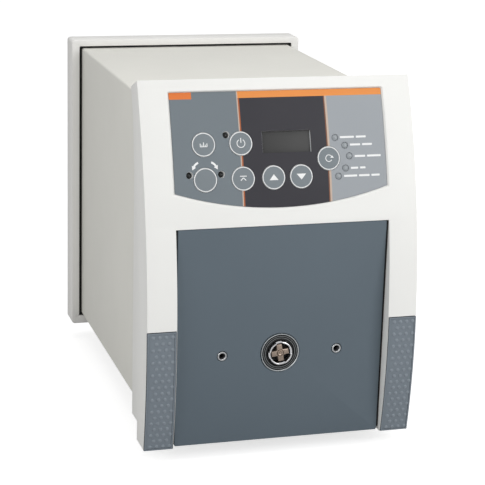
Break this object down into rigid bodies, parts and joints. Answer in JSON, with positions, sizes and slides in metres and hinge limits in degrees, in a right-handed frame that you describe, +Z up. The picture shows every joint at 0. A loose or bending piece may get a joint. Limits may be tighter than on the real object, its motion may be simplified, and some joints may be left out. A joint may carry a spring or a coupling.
{
  "type": "peristaltic pump drive",
  "caption": "Bench drive unit for peristaltic pump heads: curved white front hood, slate mounting plate with drive coupling, keypad, and a grey casing with a white rear frame.",
  "frame": {"origin": "on the table, in the middle of the unit's outline seen from above", "axes": "+Z up, the front with the coupling faces -Y, +X to the right seen from the front"},
  "size_m": [0.1664, 0.2568, 0.225],
  "materials": {
    "hood_white": "satin white moulding",
    "casing_grey": "warm light grey powder coat",
    "plate_slate": "matt slate blue paint",
    "grip_slate": "slate blue, raised dots",
    "panel_print": "printed membrane in greys and orange",
    "key_grey": "grey key with a white ring",
    "lamp_lens": "unlit lens",
    "smoked_window": "smoked window",
    "black_plastic": "black moulding",
    "black_rubber": "matt black rubber",
    "circuit_board": "green circuit board",
    "plain_steel": "machined steel",
    "bright_chrome": "bright plated",
    "bronze_cross": "sintered bronze",
    "cast_alloy": "plain aluminium"
  },
  "bodies": {
    "unit": {"front_hood": "hood_white", "rear_frame": "hood_white", "main_casing": "casing_grey", "front_plate": "plate_slate", "left_grip_pad": "grip_slate", "right_grip_pad": "grip_slate", "keypad_sheet": "panel_print", "lamp_power": "lamp_lens", "lamp_left": "lamp_lens", "lamp_right": "lamp_lens", "lamp_speed": "lamp_lens", "lamp_tube": "lamp_lens", "lamp_flow": "lamp_lens", "lamp_volume": "lamp_lens", "lamp_pause": "lamp_lens", "display_window": "smoked_window", "display_module": "black_plastic", "encoder_sensor": "black_plastic", "mains_inlet": "black_plastic", "switch_frame": "black_plastic", "fuse_holder": "black_plastic", "shaft_seal": "black_rubber", "rear_gasket": "black_rubber", "foot_1": "black_rubber", "foot_2": "black_rubber", "foot_3": "black_rubber", "foot_4": "black_rubber", "keypad_board": "circuit_board", "main_board": "circuit_board", "left_insert": "plain_steel", "right_insert": "plain_steel", "front_bearing": "plain_steel", "rear_bearing": "plain_steel", "motor_body": "plain_steel", "rear_screw_1": "plain_steel", "rear_screw_2": "plain_steel", "rear_screw_3": "plain_steel", "rear_screw_4": "plain_steel", "seal_ring": "cast_alloy", "gearbox_carrier": "cast_alloy", "rear_panel": "cast_alloy", "power_supply": "cast_alloy", "analog_port": "cast_alloy", "serial_port": "cast_alloy"},
    "key_calibrate": {"key_calibrate": "key_grey"},
    "key_power": {"key_power": "key_grey"},
    "key_direction": {"key_direction": "key_grey"},
    "key_maximum": {"key_maximum": "key_grey"},
    "key_up": {"key_up": "key_grey"},
    "key_down": {"key_down": "key_grey"},
    "key_select": {"key_select": "key_grey"},
    "drive_shaft": {"output_shaft": "plain_steel", "coupling_sleeve": "bright_chrome", "coupling_cross": "bronze_cross", "output_gear": "plain_steel"},
    "motor_rotor": {"motor_shaft": "plain_steel", "motor_pinion": "plain_steel", "encoder_disc": "black_plastic"},
    "power_rocker": {"power_rocker": "black_plastic"},
    "fuse_cap": {"fuse_cap": "black_plastic"}
  },
  "joints": [
    {"name": "key_calibrate_press", "type": "slide", "parent": "unit", "child": "key_calibrate", "axis": [0, 0.9454, -0.3258], "range_m": [0, 0.0005], "stiffness_N_per_m": 1500, "springref_m": -0.0005},
    {"name": "key_power_press", "type": "slide", "parent": "unit", "child": "key_power", "axis": [0, 0.9454, -0.3258], "range_m": [0, 0.0005], "stiffness_N_per_m": 1500, "springref_m": -0.0005},
    {"name": "key_direction_press", "type": "slide", "parent": "unit", "child": "key_direction", "axis": [0, 0.9621, -0.2725], "range_m": [0, 0.0005], "stiffness_N_per_m": 1500, "springref_m": -0.0005},
    {"name": "key_maximum_press", "type": "slide", "parent": "unit", "child": "key_maximum", "axis": [0, 0.9621, -0.2725], "range_m": [0, 0.0005], "stiffness_N_per_m": 1500, "springref_m": -0.0005},
    {"name": "key_up_press", "type": "slide", "parent": "unit", "child": "key_up", "axis": [0, 0.9621, -0.2725], "range_m": [0, 0.0005], "stiffness_N_per_m": 1500, "springref_m": -0.0005},
    {"name": "key_down_press", "type": "slide", "parent": "unit", "child": "key_down", "axis": [0, 0.9621, -0.2725], "range_m": [0, 0.0005], "stiffness_N_per_m": 1500, "springref_m": -0.0005},
    {"name": "key_select_press", "type": "slide", "parent": "unit", "child": "key_select", "axis": [0, 0.9544, -0.2986], "range_m": [0, 0.0005], "stiffness_N_per_m": 1500, "springref_m": -0.0005},
    {"name": "drive_spin", "type": "hinge", "parent": "unit", "child": "drive_shaft", "pos_m": [0, -0.12, 0.064], "axis": [0, 1, 0], "continuous": true},
    {"name": "motor_spin", "type": "hinge", "parent": "unit", "child": "motor_rotor", "pos_m": [0, -0.096, 0.10775], "axis": [0, 1, 0], "continuous": true},
    {"name": "power_rocker_tilt", "type": "hinge", "parent": "unit", "child": "power_rocker", "pos_m": [0.002, 0.1194, 0.06], "axis": [1, 0, 0], "range_deg": [0, 16]},
    {"name": "fuse_cap_turn", "type": "hinge", "parent": "unit", "child": "fuse_cap", "pos_m": [0.028, 0.12, 0.06], "axis": [0, 1, 0], "range_deg": [0, 90]}
  ],
  "couplings": [
    {"joint": "motor_spin", "follows": "drive_spin", "ratio": -4}
  ]
}
